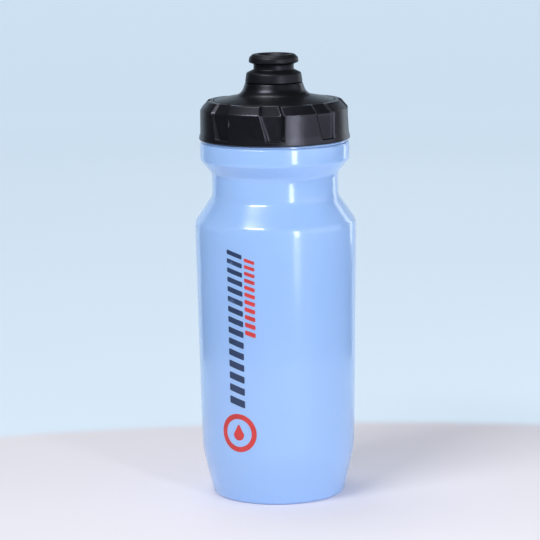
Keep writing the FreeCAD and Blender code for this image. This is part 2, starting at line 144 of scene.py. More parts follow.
def makePaper(settings):
    material = bpy.data.materials.new("studioPaper")
    material.use_nodes = True
    nodes, links = material.node_tree.nodes, material.node_tree.links
    shader = nodes["Principled BSDF"]
    shader.inputs["Roughness"].default_value = settings["paperRough"]
    shader.inputs["Specular IOR Level"].default_value = settings["paperLevel"]
    shader.inputs["Emission Strength"].default_value = 1.0
    place = nodes.new("ShaderNodeTexCoord")
    shift = nodes.new("ShaderNodeVectorMath")
    shift.operation = "SUBTRACT"
    shift.inputs[1].default_value = (*settings["middle"], 0)
    reach = nodes.new("ShaderNodeVectorMath")
    reach.operation = "LENGTH"
    fade = nodes.new("ShaderNodeMapRange")
    fade.interpolation_type = "SMOOTHSTEP"
    fade.inputs["From Min"].default_value = settings["nearReach"]
    fade.inputs["From Max"].default_value = settings["nearReach"] + settings["fade"]
    # painted fall-off: the floor's colour darkens with distance from the bottle, a pool of light painted
    # round it
    away = nodes.new("ShaderNodeVectorMath")
    away.operation = "LENGTH"
    dim = nodes.new("ShaderNodeMapRange")
    dim.interpolation_type = "SMOOTHSTEP"
    dim.inputs["From Min"].default_value, dim.inputs["From Max"].default_value = settings["paintedFalloffReach"]
    ground = nodes.new("ShaderNodeMix")
    ground.data_type = "RGBA"
    ground.inputs["A"].default_value = settings["nearColour"]
    ground.inputs["B"].default_value = settings["paintedFalloffColour"]
    blend = nodes.new("ShaderNodeMix")
    blend.data_type = "RGBA"
    blend.inputs["B"].default_value = settings["farColour"]
    shine = nodes.new("ShaderNodeMix")
    shine.data_type = "RGBA"
    shine.inputs["A"].default_value = settings["nearShine"]
    shine.inputs["B"].default_value = settings["farShine"]
    links.new(place.outputs["Object"], shift.inputs[0])
    links.new(shift.outputs["Vector"], reach.inputs[0])
    links.new(place.outputs["Object"], away.inputs[0])
    links.new(away.outputs["Value"], dim.inputs["Value"])
    links.new(dim.outputs["Result"], ground.inputs["Factor"])
    links.new(ground.outputs["Result"], blend.inputs["A"])
    links.new(reach.outputs["Value"], fade.inputs["Value"])
    links.new(fade.outputs["Result"], blend.inputs["Factor"])
    links.new(fade.outputs["Result"], shine.inputs["Factor"])
    links.new(blend.outputs["Result"], shader.inputs["Base Color"])
    links.new(shine.outputs["Result"], shader.inputs["Emission Color"])
    return material


def addSheet(name, line, arc, mirrored, paper, columnStep):
    start, sweep = arc
    steps = sweep // columnStep
    columns = steps if sweep == 360 else steps + 1
    points = []
    for across, up in line:
        for step in range(columns):
            angle = math.radians(start + sweep * step / steps)
            points.append((across * math.cos(angle), across * math.sin(angle), up))
    faces = []
    for row in range(len(line) - 1):
        for step in range(steps):
            nextStep = (step + 1) % columns
            faces.append((row * columns + step, row * columns + nextStep,
                          (row + 1) * columns + nextStep, (row + 1) * columns + step))
    if name == "studioTable":
        faces.append(tuple(range(steps)))
    mesh = bpy.data.meshes.new(name)
    mesh.from_pydata(points, [], faces)
    mesh.polygons.foreach_set("use_smooth", [True] * len(faces))
    mesh.materials.append(paper)
    sheet = bpy.data.objects.new(name, mesh)
    bpy.context.scene.collection.objects.link(sheet)
    sheet.visible_glossy = mirrored


def addStudio(settings):
    scene = bpy.context.scene
    scene.view_settings.view_transform = settings["view"]
    world = bpy.data.worlds.new("studioAir")
    scene.world = world
    world.use_nodes = True
    air = world.node_tree.nodes["Background"]
    air.inputs["Color"].default_value = settings["airColour"]
    air.inputs["Strength"].default_value = settings["airStrength"]
    paper = makePaper(settings)
    edge, cove = settings["tableReach"], settings["coveRadius"]
    flatReach = settings["roomReach"] - cove
    flatSteps, coveSteps = settings["flatSteps"], settings["coveSteps"]
    table = [(reach, 0.0) for reach in (*settings["tableRings"], edge)]
    room = [(edge + (flatReach - edge) * step / flatSteps, 0.0) for step in range(flatSteps + 1)]
    for step in range(1, coveSteps + 1):
        bend = math.radians(90) * step / coveSteps
        room.append((flatReach + cove * math.sin(bend), cove * (1 - math.cos(bend))))
    room.append((settings["roomReach"], settings["wallTop"]))
    addSheet("studioTable", table, (0, 360), True, paper, settings["columnStep"])
    addSheet("studioBack", room, settings["backArc"], True, paper, settings["columnStep"])
    # the front stays out of reflections, as black flags keep it in a studio
    addSheet("studioFront", room, settings["frontArc"], False, paper, settings["columnStep"])


addStudio(studio)
for lampName, lampSettings in lamps.items():
    addLamp(lampName, lampSettings)
print("studio ready:", len(lamps), "lamps")


# shared shader groups

def newGroup(name, inputs, outputs):
    group = bpy.data.node_groups.new(name, "ShaderNodeTree")
    for label, kind, start in inputs:
        socket = group.interface.new_socket(label, in_out="INPUT", socket_type=kind)
        socket.default_value = start
    for label, kind in outputs:
        group.interface.new_socket(label, in_out="OUTPUT", socket_type=kind)
    way = group.nodes.new("NodeGroupInput")
    out = group.nodes.new("NodeGroupOutput")
    return group, way, out


def mathNode(group, operation, first, second, clamp=False):
    node = group.nodes.new("ShaderNodeMath")
    node.operation = operation
    node.use_clamp = clamp
    for index, entry in enumerate((first, second)):
        if isinstance(entry, (int, float)):
            node.inputs[index].default_value = entry
        else:
            group.links.new(entry, node.inputs[index])
    return node.outputs[0]


def noiseNode(group, vector, scale, detail, rough=0.5):
    node = group.nodes.new("ShaderNodeTexNoise")
    node.inputs["Detail"].default_value = detail
    node.inputs["Roughness"].default_value = rough
    group.links.new(vector, node.inputs["Vector"])
    group.links.new(scale, node.inputs["Scale"])
    return node.outputs["Fac"]


def rangeNode(group, source, low, high, outLow=0.0, outHigh=1.0):
    node = group.nodes.new("ShaderNodeMapRange")
    node.interpolation_type = "SMOOTHSTEP"
    node.inputs["To Min"].default_value = outLow
    node.inputs["To Max"].default_value = outHigh
    group.links.new(source, node.inputs["Value"])
    for label, entry in (("From Min", low), ("From Max", high)):
        if isinstance(entry, (int, float)):
            node.inputs[label].default_value = entry
        else:
            group.links.new(entry, node.inputs[label])
    return node.outputs["Result"]


grainLook = {"detail": 3.0, "rough": 0.6, "waveDetail": 2.0, "waveRough": 0.4}


def makeMouldGrain(look):
    # fine spark-eroded texture of the mould, over a slow unevenness of the wall
    group, way, out = newGroup(
        "mouldGrain",
        [("Grain Scale", "NodeSocketFloat", 2600.0), ("Grain Amount", "NodeSocketFloat", 0.5),
         ("Wave Scale", "NodeSocketFloat", 45.0), ("Wave Amount", "NodeSocketFloat", 0.5)],
        [("Height", "NodeSocketFloat")],
    )
    place = group.nodes.new("ShaderNodeTexCoord").outputs["Object"]
    grain = noiseNode(group, place, way.outputs["Grain Scale"], look["detail"], look["rough"])
    wave = noiseNode(group, place, way.outputs["Wave Scale"], look["waveDetail"], look["waveRough"])
    grainPart = mathNode(group, "MULTIPLY", grain, way.outputs["Grain Amount"])
    wavePart = mathNode(group, "MULTIPLY", wave, way.outputs["Wave Amount"])
    group.links.new(mathNode(group, "ADD", grainPart, wavePart), out.inputs["Height"])
    return group


driftLook = {"detail": 4.0, "low": 0.3, "high": 0.7, "fineness": 7.0, "fineDetail": 3.0}


def makeToneDrift(look):
    # the colour drifts a little lighter and darker over the moulding, and the gloss with it
    group, way, out = newGroup(
        "toneDrift",
        [("Light Colour", "NodeSocketColor", (0.8, 0.8, 0.8, 1)),
         ("Dark Colour", "NodeSocketColor", (0.5, 0.5, 0.5, 1)), ("Scale", "NodeSocketFloat", 30.0),
         ("Rough Low", "NodeSocketFloat", 0.3), ("Rough High", "NodeSocketFloat", 0.4)],
        [("Colour", "NodeSocketColor"), ("Roughness", "NodeSocketFloat")],
    )
    place = group.nodes.new("ShaderNodeTexCoord").outputs["Object"]
    slow = noiseNode(group, place, way.outputs["Scale"], look["detail"])
    drift = rangeNode(group, slow, look["low"], look["high"])
    mix = group.nodes.new("ShaderNodeMix")
    mix.data_type = "RGBA"
    group.links.new(drift, mix.inputs["Factor"])
    group.links.new(way.outputs["Dark Colour"], mix.inputs["A"])
    group.links.new(way.outputs["Light Colour"], mix.inputs["B"])
    group.links.new(mix.outputs["Result"], out.inputs["Colour"])
    fineScale = mathNode(group, "MULTIPLY", way.outputs["Scale"], look["fineness"])
    fine = noiseNode(group, place, fineScale, look["fineDetail"])
    span = mathNode(group, "SUBTRACT", way.outputs["Rough High"], way.outputs["Rough Low"])
    rough = mathNode(group, "ADD", mathNode(group, "MULTIPLY", fine, span), way.outputs["Rough Low"])
    group.links.new(rough, out.inputs["Roughness"])
    return group


rubAndHighlightLook = {"detail": 5.0, "rough": 0.65, "low": 0.35, "high": 0.65, "least": 0.25}


def makeEdgeRubAndHighlight(look):
    # proud edges lightened: real polish and scuffs by hands and by the cage, and on the black cap also a
    # painted highlight along the notch and chamfer edges
    group, way, out = newGroup(
        "edgeRubAndHighlight",
        [("Start", "NodeSocketFloat", 0.52), ("Full", "NodeSocketFloat", 0.62),
         ("Amount", "NodeSocketFloat", 0.5), ("Breakup Scale", "NodeSocketFloat", 320.0)],
        [("Mask", "NodeSocketFloat")],
    )
    edge = group.nodes.new("ShaderNodeNewGeometry").outputs["Pointiness"]
    ridge = rangeNode(group, edge, way.outputs["Start"], way.outputs["Full"])
    place = group.nodes.new("ShaderNodeTexCoord").outputs["Object"]
    patches = noiseNode(group, place, way.outputs["Breakup Scale"], look["detail"], look["rough"])
    breakup = rangeNode(group, patches, look["low"], look["high"], look["least"])
    worn = mathNode(group, "MULTIPLY", ridge, breakup)
    group.links.new(mathNode(group, "MULTIPLY", worn, way.outputs["Amount"], clamp=True), out.inputs["Mask"])
    return group


dustLook = {
    "level": 0.2, "detail": 6.0, "rough": 0.7,
    "low": 0.42, "high": 0.72, "least": 0.2, "roughening": 0.35,
}


def makeDustFilm(look):
    # a thin film that settles on faces turned upwards
    group, way, out = newGroup(
        "dustFilm",
        [("Amount", "NodeSocketFloat", 0.1), ("Scale", "NodeSocketFloat", 900.0)],
        [("Mask", "NodeSocketFloat")],
    )
    normal = group.nodes.new("ShaderNodeNewGeometry").outputs["Normal"]
    split = group.nodes.new("ShaderNodeSeparateXYZ")
    group.links.new(normal, split.inputs["Vector"])
    upward = rangeNode(group, split.outputs["Z"], look["level"], 1.0)
    place = group.nodes.new("ShaderNodeTexCoord").outputs["Object"]
    speckle = noiseNode(group, place, way.outputs["Scale"], look["detail"], look["rough"])
    specks = rangeNode(group, speckle, look["low"], look["high"], look["least"])
    film = mathNode(group, "MULTIPLY", upward, specks)
    group.links.new(mathNode(group, "MULTIPLY", film, way.outputs["Amount"], clamp=True), out.inputs["Mask"])
    return group


mouldGrain = makeMouldGrain(grainLook)
toneDrift = makeToneDrift(driftLook)
edgeRubAndHighlight = makeEdgeRubAndHighlight(rubAndHighlightLook)
dustFilm = makeDustFilm(dustLook)


def useGroup(material, group, values):
    node = material.node_tree.nodes.new("ShaderNodeGroup")
    node.node_tree = group
    for label, number in values.items():
        node.inputs[label].default_value = number
    return node


def mixColours(tree, mask, under, over):
    mix = tree.nodes.new("ShaderNodeMix")
    mix.data_type = "RGBA"
    tree.links.new(mask, mix.inputs["Factor"])
    tree.links.new(under, mix.inputs["A"])
    mix.inputs["B"].default_value = over
    return mix.outputs["Result"]


def makePlastic(name, finish):
    material = bpy.data.materials.new(name)
    material.use_nodes = True
    tree = material.node_tree
    shader = tree.nodes["Principled BSDF"]
    for label, number in finish["shader"].items():
        shader.inputs[label].default_value = number
    tone = useGroup(material, toneDrift, finish["tone"])
    colour, rough = tone.outputs["Colour"], tone.outputs["Roughness"]
    # the rub mask lightens convex edges: real wear, and on the cap a painted highlight of the edges
    if "rubAndHighlight" in finish:
        rubAndHighlight = useGroup(material, edgeRubAndHighlight, finish["rubAndHighlight"])
        colour = mixColours(tree, rubAndHighlight.outputs["Mask"], colour, finish["rubAndHighlightColour"])
    if "dust" in finish:
        dust = useGroup(material, dustFilm, finish["dust"])
        colour = mixColours(tree, dust.outputs["Mask"], colour, finish["dustColour"])
        dustier = tree.nodes.new("ShaderNodeMath")
        dustier.operation = "MULTIPLY_ADD"
        dustier.use_clamp = True
        dustier.inputs[1].default_value = dustLook["roughening"]
        tree.links.new(dust.outputs["Mask"], dustier.inputs[0])
        tree.links.new(rough, dustier.inputs[2])
        rough = dustier.outputs[0]
    tree.links.new(colour, shader.inputs["Base Color"])
    tree.links.new(rough, shader.inputs["Roughness"])
    grain = useGroup(material, mouldGrain, finish["grain"])
    bump = tree.nodes.new("ShaderNodeBump")
    bump.inputs["Strength"].default_value = finish["bump"]
    bump.inputs["Distance"].default_value = finish["bumpDepth"] * mm
    tree.links.new(grain.outputs["Height"], bump.inputs["Height"])
    tree.links.new(bump.outputs["Normal"], shader.inputs["Normal"])
    return material


print("shader groups ready")


# mesh tools

def roundedLine(corners, arcSteps=5, longestStep=4.0, closed=True):
    # straight runs cut into even steps, with an arc at each corner that has a rounding
    count = len(corners)
    spots = [Vector((corner[0], corner[1])) for corner in corners]
    ends = []
    for index, corner in enumerate(corners):
        inner = closed or 0 < index < count - 1
        if len(corner) < 3 or not inner:
            ends.append([spots[index]])
            continue
        here, before, after = spots[index], spots[index - 1], spots[(index + 1) % count]
        back, ahead = (before - here).normalized(), (after - here).normalized()
        half = back.angle(ahead) / 2
        reach = corner[2] / math.tan(half)
        centre = here + (back + ahead).normalized() * (corner[2] / math.sin(half))
        start, stop = here + back * reach - centre, here + ahead * reach - centre
        sweep = start.angle_signed(stop)
        arc = []
        for step in range(arcSteps + 1):
            bend = -sweep * step / arcSteps
            arc.append(centre + Vector((start.x * math.cos(bend) - start.y * math.sin(bend),
                                        start.x * math.sin(bend) + start.y * math.cos(bend))))
        ends.append(arc)
    line = []
    for index in range(count):
        line.extend(ends[index])
        if index == count - 1 and not closed:
            break
        tail, head = ends[index][-1], ends[(index + 1) % count][0]
        steps = max(1, math.ceil((head - tail).length / longestStep))
        line.extend(tail.lerp(head, step / steps) for step in range(1, steps))
    return [(point.x, point.y) for point in line]


def addPiece(name, points, faces, body, material, sharp=38):
    mesh = bpy.data.meshes.new(name)
    mesh.from_pydata(points, [], faces)
    work = bmesh.new()
    work.from_mesh(mesh)
    bmesh.ops.recalc_face_normals(work, faces=work.faces)
    work.to_mesh(mesh)
    work.free()
    mesh.polygons.foreach_set("use_smooth", [True] * len(mesh.polygons))
    mesh.set_sharp_from_angle(angle=math.radians(sharp))
    mesh.materials.append(material)
    piece = bpy.data.objects.new(name, mesh)
    bpy.context.scene.collection.objects.link(piece)
    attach(piece, body)
    return piece


onAxis = 1e-6
turnedAround = 128             # columns in a full turn of a piece


def turnPiece(name, line, lift, body, material):
    # a full turn of the line; points on the axis close as a cap
    points, rings = [], []
    for across, up in line:
        if across < onAxis:
            rings.append([len(points)])
            points.append((0, 0, (up + lift) * mm))
            continue
        ring = []
        for step in range(turnedAround):
            angle = 2 * math.pi * step / turnedAround
            ring.append(len(points))
            points.append((across * math.cos(angle) * mm, across * math.sin(angle) * mm, (up + lift) * mm))
        rings.append(ring)
    faces = []
    for index, ring in enumerate(rings):
        other = rings[(index + 1) % len(rings)]
        if len(ring) == 1 and len(other) == 1:
            continue
        for step in range(turnedAround):
            nextStep = (step + 1) % turnedAround
            if len(ring) == 1:
                faces.append((ring[0], other[step], other[nextStep]))
            elif len(other) == 1:
                faces.append((ring[step], ring[nextStep], other[0]))
            else:
                faces.append((ring[step], ring[nextStep], other[nextStep], other[step]))
    return addPiece(name, points, faces, body, material)


threadShape = {
    "pitch": 4.5, "turns": 1.25, "half": 1.1, "height": 1.2,
    "fade": 0.12,              # turns over which each end rises
    "sunk": 0.05,              # share of the height an end sinks below the wall
    "stepsPerTurn": 96, "sharp": 60,
    "section": ((-1.0, 0.0), (-0.62, 0.55), (-0.42, 0.95), (0.0, 1.0),
                (0.42, 0.95), (0.62, 0.55), (1.0, 0.0), (0.0, -0.25)),
}


def windRidge(name, ridge, body, material):
    # a rounded ridge wound on a wall, rising from it at one end and sinking back at the other
    steps = int(ridge["turns"] * ridge["stepsPerTurn"])
    points, faces = [], []
    for step in range(steps + 1):
        share = step / steps
        angle = 2 * math.pi * ridge["turns"] * share
        rise = min(1.0, share * ridge["turns"] / ridge["fade"], (1 - share) * ridge["turns"] / ridge["fade"])
        rise = math.sin(rise * math.pi / 2) * (1 + ridge["sunk"]) - ridge["sunk"]
        for along, out in ridge["section"]:
            across = ridge["wall"] + out * (ridge["depth"] if out < 0 else ridge["depth"] * rise)
            up = ridge["level"] + ridge["pitch"] * ridge["turns"] * share + along * ridge["half"]
            points.append((across * math.cos(angle) * mm, across * math.sin(angle) * mm, up * mm))
    size = len(ridge["section"])
    for step in range(steps):
        for index in range(size):
            a, b = step * size + index, step * size + (index + 1) % size
            faces.append((a, b, b + size, a + size))
    faces.append(tuple(range(size)))
    faces.append(tuple(steps * size + index for index in reversed(range(size))))
    return addPiece(name, points, faces, body, material, ridge["sharp"])


# bottle body

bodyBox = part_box("bottle_body")
bodyShape = {
    "radius": bodyBox[1][0] / mm,
    "rim": bodyBox[1][2] / mm,
    "neckRadius": 30.1,
    "neckBore": 28.3,
    "wall": 1.0,
    "hip": 35.35, "hipRise": 21.5,
    "waist": 28.95,
    "collar": 34.3,
    "bandLow": 119.0,
    "threadLevel": 168.8,
    "arcSteps": 7, "longestStep": 5.5,
}
bodyFinish = {
    "shader": {"IOR": 1.5, "Specular IOR Level": 0.5, "Subsurface Weight": 0.30, "Subsurface Scale": 0.004,
               "Subsurface Radius": (0.7, 0.9, 1.3), "Coat Weight": 0.52, "Coat Roughness": 0.06},
    "tone": {"Light Colour": (0.336, 0.526, 0.955, 1), "Dark Colour": (0.326, 0.514, 0.945, 1), "Scale": 14.0,
             "Rough Low": 0.19, "Rough High": 0.25},
    "grain": {"Grain Scale": 2400.0, "Grain Amount": 0.10, "Wave Scale": 24.0, "Wave Amount": 0.9},
    "bump": 0.16,
    "bumpDepth": 0.5,
}


def bodyOuter(shape):
    wide, rim, neck, bore = shape["radius"], shape["rim"], shape["neckRadius"], shape["neckBore"]
    waist, collar = shape["waist"], shape["collar"]
    return [
        (22.95, 2.5, 2.0), (26.15, 0.0, 1.2), (30.35, 0.0, 2.4), (shape["hip"], shape["hipRise"], 44.0),
        (wide, shape["bandLow"], 60.0), (wide, 127.4, 6.5), (waist, 139.2, 6.5), (waist, 149.8, 5.0),
        (collar, 156.3, 3.2), (collar, 164.2, 1.2), (33.3, 164.2), (33.3, 165.0, 0.3), (neck, 165.0, 0.4),
        (neck, rim, 0.5), (bore, rim, 0.5),
    ]


def bodyInner(shape):
    wall, bore = shape["wall"], shape["neckBore"]
    wide, waist, collar = shape["radius"] - wall, shape["waist"] - wall, shape["collar"] - wall
    return [
        (bore, 163.2, 1.5), (collar, 163.2, 1.6), (collar, 156.7, 2.4), (waist, 150.2, 5.0),
        (waist, 138.9, 6.0), (wide, 127.1, 5.5), (wide, shape["bandLow"], 60.0),
        (shape["hip"] - wall, shape["hipRise"], 43.0), (29.55, 1.0, 1.6), (26.5, 1.0, 1.2),
        (23.3, 3.5, 2.0), (0.0, 3.5),
    ]


bodyPlastic = makePlastic("bluePolythene", bodyFinish)
bodyLine = roundedLine([(0.0, 2.5)] + bodyOuter(bodyShape) + bodyInner(bodyShape),
                       bodyShape["arcSteps"], bodyShape["longestStep"], closed=False)
bottleShell = turnPiece("bottleShell", bodyLine, 0, "bottle", bodyPlastic)
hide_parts("bottle_body")
neckThread = {**threadShape, "wall": bodyShape["neckRadius"], "depth": threadShape["height"],
              "level": bodyShape["threadLevel"]}
windRidge("neckThread", neckThread, "bottle", bodyPlastic)
print("bottle body ready:", len(bottleShell.data.vertices), "points")


# print on the body

printLook = {
    "navy": (0.027, 0.050, 0.125, 1),
    "red": (0.66, 0.045, 0.040, 1),
    "proud": 0.05,           # ink over the wall
    "buried": 0.10,
    "cell": 1.6,
    "corner": 0.45,          # rounding of a bar
    "darker": 0.82,
    "sharp": 30,
    "wallFrom": 26.0,        # the outer wall lies beyond this radius, up to this height
    "wallTop": 150.0,
}
navyBars = {
    "azimuth": -31.0, "width": 7.8, "low": 47.0, "high": 119.0,
    "slant": 2.3, "thick": (3.4, 2.0), "gap": (2.4, 1.9),
}
redBars = {
    "azimuth": -19.5, "width": 5.0, "low": 79.5, "high": 115.5,
    "slant": 1.5, "thick": (2.1, 1.5), "gap": (1.6, 1.4),
}
emblem = {
    "azimuth": -30.5, "height": 34.2, "radius": 8.9, "band": 2.4, "ringSteps": 48,
    "drop": 2.7, "sink": 0.8, "dropSteps": 36,
    "narrowing": 0.25, "tip": 0.75, "tipCurve": 5,
}


def outerRadiusAt(height):
    outer = [point for point in bodyLine
             if point[0] > printLook["wallFrom"] and point[1] < printLook["wallTop"]]
    for (r0, z0), (r1, z1) in zip(outer, outer[1:]):
        if z0 <= height <= z1 and z1 > z0:
            return r0 + (r1 - r0) * (height - z0) / (z1 - z0)
    return bodyShape["radius"]


def cutSheet(outline, hole=None):
    # a flat sheet of the shape, cut into cells small enough to follow the wall
    work = bmesh.new()
    ring = [work.verts.new((across, 0, up)) for across, up in outline]
    if hole:
        inner = [work.verts.new((across, 0, up)) for across, up in hole]
        count = len(ring)
        for index in range(count):
            after = (index + 1) % count
            work.faces.new((ring[index], ring[after], inner[after], inner[index]))
    else:
        work.faces.new(ring)
    for axis in (Vector((1, 0, 0)), Vector((0, 0, 1))):
        places = [vert.co.dot(axis) for vert in work.verts]
        level = math.floor(min(places) / printLook["cell"]) * printLook["cell"] + printLook["cell"]
        while level < max(places):
            bmesh.ops.bisect_plane(work, geom=work.verts[:] + work.edges[:] + work.faces[:], dist=1e-4,
                                   plane_co=axis * level, plane_no=axis)
            level += printLook["cell"]
    work.verts.index_update()
    flat = [(vert.co.x, vert.co.z) for vert in work.verts]
    cells = [[vert.index for vert in face.verts] for face in work.faces]
    rim = [[vert.index for vert in edge.verts] for edge in work.edges if len(edge.link_faces) == 1]
    work.free()
    return flat, cells, rim


def wrapSheets(name, sheets, azimuth, material):
    # each flat sheet is laid round the wall as thin ink with a skin above and below the surface
    points, faces = [], []
    for flat, cells, rim in sheets:
        base, count = len(points), len(flat)
        for lift in (-printLook["buried"], printLook["proud"]):
            for along, up in flat:
                radius = outerRadiusAt(up)
                angle = math.radians(azimuth) + along / radius - math.pi / 2
                out = radius + lift
                points.append((out * math.cos(angle) * mm, out * math.sin(angle) * mm, up * mm))
        for cell in cells:
            faces.append([base + index for index in cell])
            faces.append([base + count + index for index in reversed(cell)])
        for first, second in rim:
            faces.append([base + first, base + second, base + count + second, base + count + first])
    return addPiece(name, points, faces, "bottle", material, printLook["sharp"])


def barSheets(bars):
    sheets, level, corner = [], bars["low"], printLook["corner"]
    while True:
        share = (level - bars["low"]) / (bars["high"] - bars["low"])
        thick = bars["thick"][0] + (bars["thick"][1] - bars["thick"][0]) * share
        if level + thick > bars["high"]:
            return sheets
        half, lean = bars["width"] / 2, bars["slant"] / 2
        corners = [(-half, level + lean, corner), (half, level - lean, corner),
                   (half, level + thick - lean, corner), (-half, level + thick + lean, corner)]
        sheets.append(cutSheet(roundedLine(corners, 4, 99.0)))
        level += thick + bars["gap"][0] + (bars["gap"][1] - bars["gap"][0]) * share


def inkFinish(colour):
    darker = tuple(part * printLook["darker"] for part in colour[:3]) + (1,)
    return {
        "shader": {"IOR": 1.48, "Specular IOR Level": 0.4, "Coat Weight": 0.2, "Coat Roughness": 0.12},
        "tone": {"Light Colour": colour, "Dark Colour": darker, "Scale": 160.0,
                 "Rough Low": 0.30, "Rough High": 0.46},
        "rubAndHighlight": {"Start": 0.55, "Full": 0.75, "Amount": 0.35, "Breakup Scale": 900.0},
        "rubAndHighlightColour": (0.30, 0.45, 0.80, 1),
        "grain": {"Grain Scale": 3200.0, "Grain Amount": 0.5, "Wave Scale": 60.0, "Wave Amount": 0.3},
        "bump": 0.3,
        "bumpDepth": 0.15,
    }


navyInk = makePlastic("navyInk", inkFinish(printLook["navy"]))
redInk = makePlastic("redInk", inkFinish(printLook["red"]))
wrapSheets("navyPrint", barSheets(navyBars), navyBars["azimuth"], navyInk)
wrapSheets("redPrint", barSheets(redBars), redBars["azimuth"], redInk)


def roundLine(radius, height, steps):
    turns = [2 * math.pi * step / steps for step in range(steps)]
    return [(radius * math.sin(turn), height + radius * math.cos(turn)) for turn in turns]


def emblemSheets(badge):
    # a plain ring round a drop
    rings = [roundLine(radius, badge["height"], badge["ringSteps"])
             for radius in (badge["radius"], badge["radius"] - badge["band"])]
    drop = []
    for across, up in roundLine(badge["drop"], 0.0, badge["dropSteps"]):
        rise = max(0.0, up / badge["drop"])
        drop.append((across * (1 - badge["narrowing"] * rise),
                     badge["height"] - badge["sink"] + up * (1 + badge["tip"] * rise ** badge["tipCurve"])))
    return [cutSheet(*rings), cutSheet(drop)]


wrapSheets("redEmblem", emblemSheets(emblem), emblem["azimuth"], redInk)
print("print ready")


# screw cap

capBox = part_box("cap_body")
capShape = {
    "base": capBox[0][2] / mm,
    "count": 8,
    "foot": 2.0, "bend": 13.5, "top": 18.4,
    "left": (3.8, 7.0, 6.9),      # notch sides at foot, bend and top
    "right": (4.4, 4.5, 2.6),
    "side": 1.2,                   # width of each sloping side
    "sideShares": (-0.2, 0.0, 0.14, 0.32, 0.5, 0.68, 0.86, 1.0, 1.2),    # columns over a sloping side
    "outerColumns": 10,
    "support": 0.02,               # share of the wall kept for the bend beside each notch
    "floorColumns": 4,
    "flatFrom": 0.2,               # notches deeper than this have flat floors
    "leastReach": 29.5,
    "cornerShare": 0.45,           # most of an edge that a rounding may take
    "arcSteps": 4,
    "wall": [(31.7, 0, 0), (34.64, 0, 0.55), (34.42, 1.85, 0.1), (34.385, 2.2, 0.1), (34.22, 3.6, 0.8),
             (34.1, 13.99, 0.5), (30.85, 17.69, 0.5), (28.0, 17.84, 0.22), (28.0, 16.94, 0)],
    "notch": [(31.7, 0, 0), (34.64, 0, 0.55), (34.42, 1.92, 0.22), (32.7, 2.08, 0.35), (32.7, 3.7, 0.8),
              (32.7, 13.5, 0.7), (29.05, 17.78, 0.35), (28.0, 17.84, 0.22), (28.0, 16.94, 0)],
    "cuts": (1, 1, 0, 1, 9, 5, 2, 0, 0),    # points between the corners
    "hidden": [(27.6, 16.94), (14.27, 19.61, 6.4), (12.25, 25.74, 0.2), (10.75, 25.74, 0.2), (10.75, 24.44),
               (11.25, 23.89), (11.25, 14.69), (13.6, 14.69), (13.6, 12.59), (14.6, 12.59),
               (14.6, 14.69, 0.4), (30.6, 14.69, 0.4), (30.6, 12.58), (31.7, 11.5)],
    "hiddenArcSteps": 3, "hiddenStep": 7.0,
    "threadLevel": 2.05,
    "sharp": 64,
}
capFinish = {
    "shader": {"IOR": 1.52, "Specular IOR Level": 0.80, "Specular Tint": (0.78, 0.80, 1.0, 1)},
    "tone": {"Light Colour": (0.0046, 0.0047, 0.0060, 1), "Dark Colour": (0.0032, 0.0033, 0.0044, 1),
             "Scale": 60.0, "Rough Low": 0.26, "Rough High": 0.40},
    # the lighter edges here are partly real scuffing, partly a painted highlight along the notch and chamfer
    # edges
    "rubAndHighlight": {"Start": 0.52, "Full": 0.60, "Amount": 0.55, "Breakup Scale": 420.0},
    "rubAndHighlightColour": (0.15, 0.15, 0.175, 1),
    "dust": {"Amount": 0.010, "Scale": 1400.0},
    "dustColour": (0.30, 0.31, 0.34, 1),
    "grain": {"Grain Scale": 3000.0, "Grain Amount": 0.8, "Wave Scale": 120.0, "Wave Amount": 0.35},
    "bump": 0.35,
    "bumpDepth": 0.12,
}


def softRamp(share, ease=0.14):
    # nought to one across a sloping side, with both its edges eased
    if share <= -ease:
        return 0.0
    if share < ease:
        return (share + ease) ** 2 / (4 * ease)
    if share <= 1 - ease:
        return share
    if share < 1 + ease:
        return 1 - (1 + ease - share) ** 2 / (4 * ease)
    return 1.0


def atLevel(levels, sizes, height):
    if height <= levels[0]:
        return sizes[0]
    for index in range(len(levels) - 1):
        if height <= levels[index + 1]:
            share = (height - levels[index]) / (levels[index + 1] - levels[index])
            return sizes[index] + (sizes[index + 1] - sizes[index]) * share
    return sizes[-1]


def easedLine(corners, arcSteps, cuts, most):
    # like roundedLine, but with the same number of points for every set of corners
    line = []
    for index, corner in enumerate(corners):
        here = Vector(corner[:2])
        if 0 < index < len(corners) - 1:
            before, after = Vector(corners[index - 1][:2]), Vector(corners[index + 1][:2])
            reach = min(corner[2], (before - here).length * most, (after - here).length * most)
            start = here + (before - here).normalized() * reach
            stop = here + (after - here).normalized() * reach
            for step in range(arcSteps + 1):
                share = step / arcSteps
                line.append(start.lerp(here, share).lerp(here.lerp(stop, share), share))
        else:
            line.append(here)
        line.append(cuts[index])
    points = []
    for index, entry in enumerate(line):
        if isinstance(entry, int):
            if index + 1 < len(line):
                tail, head = line[index - 1], line[index + 1]
                points.extend(tail.lerp(head, step / (entry + 1)) for step in range(1, entry + 1))
            continue
        points.append(entry)
    return points


